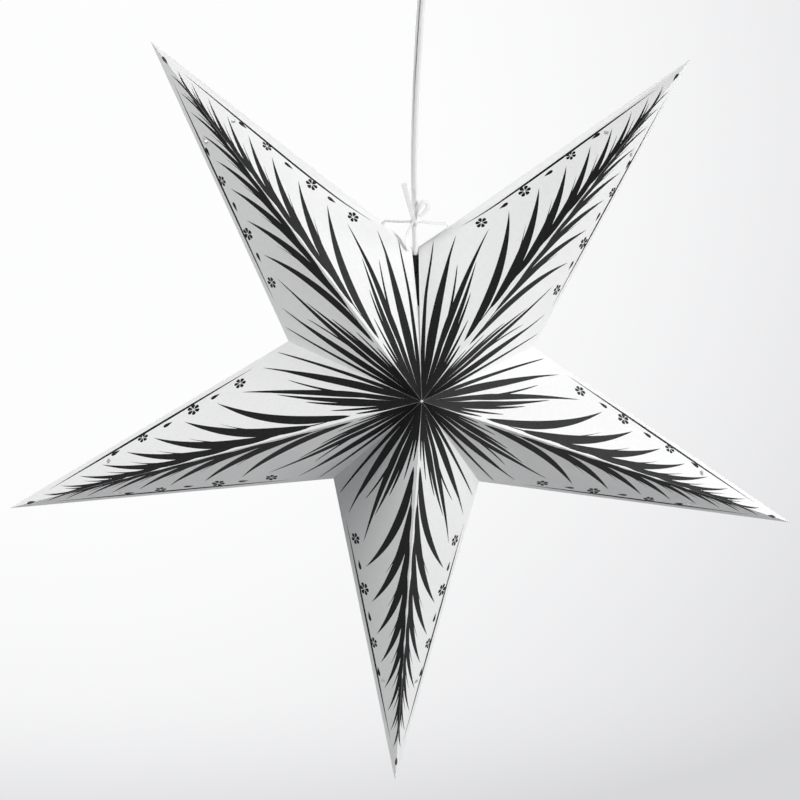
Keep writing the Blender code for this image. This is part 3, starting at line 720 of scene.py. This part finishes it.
def panel_mesh(name, plan, seed, flip, place, pull):
    """A panel's thin card: printed outer face, plain inner face and cut edges, put in place."""
    places, triangles, outer = plan
    inner = inset_corners(fold_insets()[1])
    to_inner = affine_map(outer, inner)
    shape = bmesh.new()
    used = sorted({index for triangle, _ in triangles for index in triangle})
    tops, bottoms = {}, {}
    for index in used:
        point = places[index]
        rise = noise.noise(Vector((point.x, point.y, seed * WARP_SEED_STEP)) / WARP_LENGTH) * WARP_HEIGHT
        rise *= smooth_step(edge_distance(point) / WARP_MARGIN)
        under = to_inner(point)
        tops[index] = shape.verts.new(APEX + ALONG * point.x + ACROSS * point.y + OUTWARD * rise)
        bottoms[index] = shape.verts.new(APEX + ALONG * under.x + ACROSS * under.y
                                         + OUTWARD * (rise - CARD_THICKNESS))
    edges = {}
    for triangle, material in triangles:
        face = shape.faces.new([tops[index] for index in triangle])
        face.material_index = material
        back = shape.faces.new([bottoms[index] for index in reversed(triangle)])
        back.material_index = INSIDE_INDEX
        for one, two in zip(triangle, list(triangle[1:]) + [triangle[0]]):
            key = (min(one, two), max(one, two))
            edges[key] = None if key in edges else (one, two)
    for pair in edges.values():
        if pair:
            one, two = pair
            side = shape.faces.new([tops[two], tops[one], bottoms[one], bottoms[two]])
            side.material_index = PAPER_INDEX
    for vertex in shape.verts:
        vertex.co = drawn_in(place @ vertex.co, pull)
    if flip:
        bmesh.ops.reverse_faces(shape, faces=shape.faces)
    mesh = bpy.data.meshes.new(name)
    shape.to_mesh(mesh)
    shape.free()
    return mesh


def affine_map(source, target):
    """The map of the plane that takes three points to three others."""
    one, two = source[1] - source[0], source[2] - source[0]
    size = one.cross(two)

    def moved(point):
        offset = point - source[0]
        along = offset.cross(two) / size
        across = one.cross(offset) / size
        return target[0] + (target[1] - target[0]) * along + (target[2] - target[0]) * across

    return moved


def panel_place(arm, side, face):
    """Matrix from a panel drawn in its plane to its place in the star."""
    angle = arm_angle(arm)
    beside = direction(angle + math.pi / 2) * side
    axes = Matrix((direction(angle), beside, Vector((0, face, 0)))).transposed().to_4x4()
    return Matrix.Translation(STAR_CENTRE) @ axes


def make_panels():
    """The printed card panels of every arm, front and back."""
    plans = {}
    for arm in range(1, ARM_COUNT + 1):
        for side in (LEFT, RIGHT):
            has_tie = (arm, side) in ((1, LEFT), (ARM_COUNT, RIGHT))
            has_flap = (arm, side) == (ARM_COUNT, RIGHT)
            kind = (has_tie, has_flap)
            if kind not in plans:
                plans[kind] = triangulated(*kind)
            nodes = [f"arm{arm}_{FACE_NAMES[face]}_{SIDE_NAMES[side]}" for face in (FRONT, BACK)]
            for face, node in zip((FRONT, BACK), nodes):
                seed = arm * 4 + side + face * 0.5
                mesh = panel_mesh(node + "_card", plans[kind], seed, side * face < 0,
                                  panel_place(arm, side, face), side if has_tie else 0)
                body = None if has_tie else node
                card = new_piece(node + "_card", mesh, body, "card", CARD_MATERIALS, node)
                if has_tie:
                    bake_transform(card)


# Swept and turned pieces


def sweep(name, route, section, twist, scale=lambda share: 1.0, facing=Vector((0, 1, 0))):
    """A closed solid swept along a route: its section turns with twist, both by share along."""
    shape = bmesh.new()
    rings = []
    last = len(route) - 1
    for index, point in enumerate(route):
        run = (route[min(index + 1, last)] - route[max(index - 1, 0)]).normalized()
        depth = (facing - run * facing.dot(run)).normalized()
        side = run.cross(depth)
        share = index / last
        turn = twist(share)
        size = scale(share)
        ring_points = []
        for x, y in section:
            across = x * size * math.cos(turn) - y * math.sin(turn)
            deep = x * size * math.sin(turn) + y * math.cos(turn)
            ring_points.append(shape.verts.new(point + side * across + depth * deep))
        rings.append(ring_points)
    count = len(section)
    for one, two in zip(rings, rings[1:]):
        for index in range(count):
            after = (index + 1) % count
            shape.faces.new((one[index], one[after], two[after], two[index]))
    shape.faces.new(rings[0])
    shape.faces.new(list(reversed(rings[-1])))
    bmesh.ops.recalc_face_normals(shape, faces=shape.faces)
    for face in shape.faces:
        face.smooth = len(face.verts) == 4
    mesh = bpy.data.meshes.new(name)
    shape.to_mesh(mesh)
    shape.free()
    return mesh


def twin_section():
    """Section of the twin flex: two round cores side by side with a groove between them."""
    open_angle = math.pi - math.acos(LOBE_SPACING / 2 / LOBE_RADIUS)
    points = []
    for side in (1, -1):
        for step in range(LOBE_STEPS + 1):
            turn = open_angle * (2 * step / LOBE_STEPS - 1)
            points.append((side * (LOBE_SPACING / 2 + LOBE_RADIUS * math.cos(turn)),
                           side * LOBE_RADIUS * math.sin(turn)))
    return points


def tape_section(width, thickness):
    """Section of a flat tape with round edges."""
    steps = 6
    points = []
    for side in (1, -1):
        for step in range(steps + 1):
            turn = math.pi * (step / steps - 0.5)
            points.append((side * (width / 2 - thickness / 2 + thickness / 2 * math.cos(turn)),
                           side * thickness / 2 * math.sin(turn)))
    return points


# Flex: height above its base and sway along X, in millimetres, and its turn by share of the length
FLEX_SWAY = ((0, 0), (9, -0.1), (18, -0.6), (30, -1.1), (42, -1.7), (58, -2.6), (78, -3.4),
             (102, -3.8), (132, -3.8), (160, -3.3), (189, -2.4), (205, -1.0))
FLEX_TURNS = ((0.0, 88), (0.12, 84), (0.28, 71), (0.50, 68), (0.80, 42), (1.0, 30))
FLEX_SHARP_ANGLE = math.radians(40)
FLEX_ROUTE = [Vector((sway * MM, 0, CORD_BASE + height * MM)) for height, sway in FLEX_SWAY]
FLEX_ROUTE.append(Vector((0, 0, CORD_TOP)))


def make_flex():
    """White twin flex, which turns slowly on its way up."""
    route = smooth_route(FLEX_ROUTE, 9)

    def twist(share):
        for (low, one), (high, two) in zip(FLEX_TURNS, FLEX_TURNS[1:]):
            if share <= high:
                part = smooth_step((share - low) / (high - low))
                return math.radians(one + (two - one) * part)
        return math.radians(FLEX_TURNS[-1][1])

    mesh = sweep("flex", route, twin_section(), twist)
    mesh.set_sharp_from_angle(angle=FLEX_SHARP_ANGLE)
    lobe = LOBE_STEPS + 1
    for face in mesh.polygons:
        if len(face.vertices) == 4:
            steps = [vertex % (2 * lobe) % lobe for vertex in face.vertices]
            place = min(steps)
            spread = max(steps) - place
            # The faces beside the groove and across it take the painted shade
            if place in (0, LOBE_STEPS - 1) or spread > 1:
                face.material_index = 1
    flex = new_piece("flex", mesh, "pendant", "flex", (FLEX, FLEX_GROOVE_SHADE), "cord")


def joined(name, meshes):
    """One mesh that holds several."""
    shape = bmesh.new()
    for mesh in meshes:
        shape.from_mesh(mesh)
    whole = bpy.data.meshes.new(name)
    shape.to_mesh(whole)
    shape.free()
    return whole


# Ribbon tape: width and thickness of the loop and tails, the strands, and the knot's two turns
TAPE_SIZE = (3.5 * MM, 0.8 * MM)
STRAND_SIZE = (2.4 * MM, 0.9 * MM)
WRAP_SIZE = (3.0 * MM, 0.9 * MM)
BAND_SIZE = (3.2 * MM, 1.0 * MM)
KNOT_SHIFT = -1.1 * MM
WRAP_SHIFT = -0.6 * MM
WRAP_RADIUS = 4.3 * MM
WRAP_TILT = 0.12
WRAP_GAP_ANGLE = math.radians(24)
WRAP_STEPS = 36
STRAND_RISES = {LEFT: 0.6 * MM, RIGHT: 0.8 * MM}
STRAND_CLEAR = 1.0 * MM
STRAND_FALL = 1.6 * MM


def make_tie():
    """The ribbon: two ends in the arms, the knot round the flex, a loop and two tails."""
    knot = STAR_CENTRE + Vector((KNOT_SHIFT, -KNOT_FRONT, KNOT_HEIGHT))
    section = tape_section(*TAPE_SIZE)
    narrow = tape_section(*STRAND_SIZE)

    def at(*offsets):
        return [knot + Vector(offset) * MM for offset in offsets]

    for arm, side, turn in ((ARM_COUNT, RIGHT, LEFT), (1, LEFT, RIGHT)):
        place = panel_place(arm, side, FRONT)
        run = (TIP - VALLEY).normalized()
        hole = drawn_in(place @ (VALLEY + run * TIE_HOLE_REACH), side)
        hole += Vector((0, 0, STRAND_RISES[turn]))
        into_arm = (direction(arm_angle(arm)) * -1 + Vector((turn * 0.9, 0.5, 0))).normalized()
        start = knot + Vector((turn * 2.6 * MM, -0.8 * MM, 0))
        level = Vector((hole.x - turn * 1.6 * MM, hole.y - 0.6 * MM,
                        max(hole.z + STRAND_CLEAR, start.z - STRAND_FALL)))
        near = start.lerp(level, 0.40) - Vector((0, 0, 0.3 * MM))
        far = start.lerp(level, 0.80) - Vector((0, 0, 0.2 * MM))
        route = smooth_route([start, near, far, level, hole, hole + into_arm * 1.4 * MM], 7)
        name = f"tie_strand_{SIDE_NAMES[turn]}"
        mesh = sweep(name + "_tape", route, narrow, lambda part: math.radians(48 - 14 * part))
        body = f"arm{arm}_front_{SIDE_NAMES[side]}"
        new_piece(name + "_tape", mesh, body, "ribbon", (TAPE,), name)

    loop = smooth_route(at((-0.6, -2.3, 1.2), (0.4, -2.2, 5.4), (2.2, -1.6, 10.4),
                           (4.6, -0.9, 14.2), (7.4, -0.3, 14.6), (9.0, 0.1, 12.0),
                           (8.3, 0.2, 8.8), (5.8, -0.2, 5.9), (2.8, -0.9, 3.4),
                           (0.6, -1.6, 0.8)), 8)
    mesh = sweep("tie_loop_tape", loop, section,
                 lambda share: math.radians(50 - 26 * math.sin(math.pi * share)))
    new_piece("tie_loop_tape", mesh, "tie", "ribbon", (TAPE,), "tie_loop")

    up = smooth_route(at((0.2, -3.2, -2.8), (-1.6, -3.6, 1.6), (-3.4, -3.0, 7.0),
                         (-5.6, -2.1, 14.0), (-7.6, -1.5, 21.0), (-9.8, -1.2, 28.2)), 8)
    mesh = sweep("tie_tail_up_tape", up, section, lambda share: math.radians(30 * (1 - share)),
                 lambda share: 0.92 + 0.30 * share * share)
    new_piece("tie_tail_up_tape", mesh, "tie", "ribbon", (TAPE,), "tie_tail_up")

    down = smooth_route(at((-1.0, -2.6, -0.4), (-4.0, -2.3, -4.6), (-6.0, -1.9, -10.2),
                           (-6.4, -1.8, -15.2), (-5.4, -1.7, -18.8), (-3.8, -1.6, -21.6)), 8)
    mesh = sweep("tie_tail_down_tape", down, section, lambda share: math.radians(64 - 22 * share))
    new_piece("tie_tail_down_tape", mesh, "tie", "ribbon", (TAPE,), "tie_tail_down")

    middle = STAR_CENTRE + Vector((WRAP_SHIFT, 0, KNOT_HEIGHT))
    turned_round = []
    for step in range(WRAP_STEPS + 1):
        angle = WRAP_GAP_ANGLE / 2 + (2 * math.pi - WRAP_GAP_ANGLE) * step / WRAP_STEPS
        place = Vector((math.sin(angle), -math.cos(angle), WRAP_TILT * math.cos(angle)))
        turned_round.append(middle + place * WRAP_RADIUS)
    wrap = sweep("tie_knot_wrap", turned_round, tape_section(*WRAP_SIZE), lambda share: 0.0,
                 facing=Vector((0, 0, 1)))
    band = smooth_route(at((3.0, 1.2, 1.6), (2.2, -1.0, 1.2), (0.2, -2.0, 0.2), (-2.0, -1.2, -0.9),
                           (-3.2, 1.0, -1.6)), 8)
    cross = sweep("tie_knot_band", band, tape_section(*BAND_SIZE), lambda share: 0.0)
    knot_mesh = joined("tie_knot_tape", (wrap, cross))
    new_piece("tie_knot_tape", knot_mesh, "tie", "ribbon", (TAPE,), "tie_knot")


# Holder, bulb and ceiling fitting: their solids stay, with rounded edges and a collar


def turned(name, profile, steps=48):
    """A solid of revolution round the flex's axis: its profile runs from the axis up and back."""
    shape = bmesh.new()
    points = [shape.verts.new((radius, 0, height)) for radius, height in profile]
    edges = [shape.edges.new(pair) for pair in zip(points, points[1:])]
    bmesh.ops.spin(shape, geom=points + edges, cent=(0, 0, 0), axis=(0, 0, 1), angle=2 * math.pi,
                   steps=steps, use_merge=True)
    bmesh.ops.remove_doubles(shape, verts=shape.verts, dist=WELD_DISTANCE)
    bmesh.ops.recalc_face_normals(shape, faces=shape.faces)
    mesh = bpy.data.meshes.new(name)
    shape.to_mesh(mesh)
    shape.free()
    mesh.shade_smooth()
    mesh.set_sharp_from_angle(angle=COLLAR_SHARP_ANGLE)
    return mesh


def make_collar():
    """Soft black collar on the holder's neck, which the flex comes out of."""
    low, high = CORD_BASE - COLLAR_SINK, CORD_BASE + COLLAR_RISE
    profile = [(0, low), (COLLAR_RADIUS, low), (COLLAR_RADIUS, high - COLLAR_EDGE)]
    for step in range(1, COLLAR_STEPS + 1):
        turn = math.pi / 2 * step / COLLAR_STEPS
        profile.append((COLLAR_RADIUS - COLLAR_EDGE * (1 - math.cos(turn)),
                        high - COLLAR_EDGE * (1 - math.sin(turn))))
    profile.append((0, high))
    new_piece("holder_collar", turned("holder_collar", profile), "pendant", "holder", (BLACK,))


def soften(item):
    """Smooth shading with small rounded edges, by modifiers, so that the solid itself is kept."""
    normals = item.data.attributes.get("custom_normal")
    if normals:
        item.data.attributes.remove(normals)
    item.data.shade_smooth()
    weld = item.modifiers.new("weld", "WELD")
    weld.merge_threshold = WELD_DISTANCE
    bevel = item.modifiers.new("edges", "BEVEL")
    bevel.width = SOFT_EDGE
    bevel.segments = 2
    bevel.limit_method = "ANGLE"
    bevel.angle_limit = SHARP_ANGLE
    bevel.use_clamp_overlap = True
    bevel.harden_normals = True


def dress_solids():
    """Materials for the solids that show as they are."""
    finishes = {"cord_grip": BLACK, "holder_cap": BLACK, "holder_body": BLACK,
                "contact_block": CERAMIC, "screw_sleeve": BRASS, "centre_contact": BRASS,
                "bulb_cap": NICKEL, "bulb_contact": NICKEL, "bulb_glass": GLASS,
                "ceiling_plate": FITTING, "ceiling_cup": FITTING, "cup_gland": FITTING}
    for name, material in finishes.items():
        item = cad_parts[name]
        if not item.material_slots:
            item.data.materials.append(material)
        for place in item.material_slots:
            place.material = material
        soften(item)


# Studio


def make_camera():
    """Camera at the photograph's place, a little rolled."""
    back = Vector((math.sin(CAMERA_AZIMUTH) * math.cos(CAMERA_ELEVATION),
                   -math.cos(CAMERA_AZIMUTH) * math.cos(CAMERA_ELEVATION),
                   math.sin(CAMERA_ELEVATION)))
    right = Vector((0, 0, 1)).cross(back).normalized()
    up = back.cross(right)
    rolled = right * math.cos(CAMERA_ROLL) + up * math.sin(CAMERA_ROLL)
    lens_data = bpy.data.cameras.new("camera")
    lens_data.lens = CAMERA_LENS
    lens_data.sensor_width = CAMERA_SENSOR
    lens_data.clip_start = CAMERA_NEAR
    camera = bpy.data.objects.new("camera", lens_data)
    turn = Matrix((rolled, back.cross(rolled), back)).transposed().to_4x4()
    camera.matrix_world = Matrix.Translation(AIM + back * CAMERA_DISTANCE) @ turn
    bpy.context.scene.collection.objects.link(camera)
    bpy.context.scene.camera = camera


def area_light(name, towards, size, power):
    """A square soft box that looks at the star from a direction."""
    data = bpy.data.lights.new(name, "AREA")
    data.size = size
    data.energy = power
    light = bpy.data.objects.new(name, data)
    way = Vector(towards).normalized()
    light.location = STAR_CENTRE + way * LAMP_DISTANCE
    light.rotation_euler = way.to_track_quat("Z", "Y").to_euler()
    bpy.context.scene.collection.objects.link(light)


def math_node(tree, operation, source, value):
    """A Math node fed by a socket and a number."""
    node = tree.nodes.new("ShaderNodeMath")
    node.operation = operation
    tree.links.new(source, node.inputs[0])
    node.inputs[1].default_value = value
    return node.outputs["Value"]


def falloff(tree, view, way, start, rate):
    """Darkness that grows with the square of the angle past a start, away from a direction."""
    dot = tree.nodes.new("ShaderNodeVectorMath")
    dot.operation = "DOT_PRODUCT"
    dot.inputs[1].default_value = way
    tree.links.new(view, dot.inputs[0])
    angle = math_node(tree, "ARCCOSINE", dot.outputs["Value"], 0)
    past = math_node(tree, "MAXIMUM", math_node(tree, "SUBTRACT", angle, start), 0)
    return math_node(tree, "MULTIPLY", math_node(tree, "POWER", past, 2), rate)


def seen_background(tree):
    """The pale wall that the camera sees: brightest at the upper left, darker low down."""
    axes = bpy.context.scene.camera.matrix_world.to_3x3()
    right, up, ahead = axes.col[0], axes.col[1], -axes.col[2]
    glow = (ahead + right * GLOW_PLACE[0] + up * GLOW_PLACE[1]).normalized()
    view = tree.nodes.new("ShaderNodeTexCoord").outputs["Generated"]
    round_glow = falloff(tree, view, glow, GLOW_RADIUS, GLOW_RATE)
    low_down = falloff(tree, view, up, math.pi / 2 + LOW_START, LOW_RATE)
    total = tree.nodes.new("ShaderNodeMath")
    tree.links.new(round_glow, total.inputs[0])
    tree.links.new(low_down, total.inputs[1])
    left_over = math_node(tree, "MULTIPLY_ADD", total.outputs["Value"], -1)
    left_over.node.inputs[2].default_value = 1
    floored = math_node(tree, "MAXIMUM", left_over, DARKEST_LEVEL)
    level = math_node(tree, "POWER", floored, DISPLAY_GAMMA)
    ramp = tree.nodes.new("ShaderNodeValToRGB")
    ramp.color_ramp.elements[0].position = WALL_DARK_POSITION
    ramp.color_ramp.elements[0].color = WALL_DARK
    ramp.color_ramp.elements[1].position = 1.0
    ramp.color_ramp.elements[1].color = WALL_LIGHT
    tree.links.new(level, ramp.inputs["Fac"])
    return ramp.outputs["Color"]


def make_studio():
    """Soft boxes, a pale floor below the star and a bright surround."""
    area_light("key", (0.683, -0.683, 0.259), 1.1, KEY_POWER)
    area_light("fill", (-0.837, -0.224, 0.5), 1.2, FILL_POWER)
    area_light("rim", (0.72, 0.235, 0.65), 0.8, RIM_POWER)
    area_light("back", (-0.25, 0.95, 0.25), 1.2, BACK_POWER)

    world = bpy.data.worlds.new("surround")
    world.use_nodes = True
    bpy.context.scene.world = world
    tree = world.node_tree
    lit = tree.nodes["Background"]
    lit.inputs["Color"].default_value = SURROUND_COLOUR
    lit.inputs["Strength"].default_value = SURROUND_STRENGTH
    seen = tree.nodes.new("ShaderNodeBackground")
    tree.links.new(seen_background(tree), seen.inputs["Color"])
    path = tree.nodes.new("ShaderNodeLightPath")
    shown = path.outputs["Is Camera Ray"]
    for kind in ("Is Glossy Ray", "Is Transmission Ray"):
        either = tree.nodes.new("ShaderNodeMath")
        either.operation = "MAXIMUM"
        tree.links.new(shown, either.inputs[0])
        tree.links.new(path.outputs[kind], either.inputs[1])
        shown = either.outputs["Value"]
    mix = tree.nodes.new("ShaderNodeMixShader")
    tree.links.new(shown, mix.inputs["Fac"])
    tree.links.new(lit.outputs["Background"], mix.inputs[1])
    tree.links.new(seen.outputs["Background"], mix.inputs[2])
    tree.links.new(mix.outputs["Shader"], tree.nodes["World Output"].inputs["Surface"])

    shape = bmesh.new()
    bmesh.ops.create_circle(shape, cap_ends=True, segments=64, radius=FLOOR_RADIUS)
    mesh = bpy.data.meshes.new("floor")
    shape.to_mesh(mesh)
    shape.free()
    floor = bpy.data.objects.new("floor", mesh)
    floor.location = (0, 0, FLOOR_HEIGHT)
    mesh.materials.append(plastic_material("pale_floor", (0.55, 0.55, 0.56), 0.8, 4, 0.0001))
    bpy.context.scene.collection.objects.link(floor)


bpy.context.scene.view_settings.view_transform = "Standard"
make_camera()
make_flex()
make_collar()
make_panels()
make_tie()
dress_solids()
make_studio()
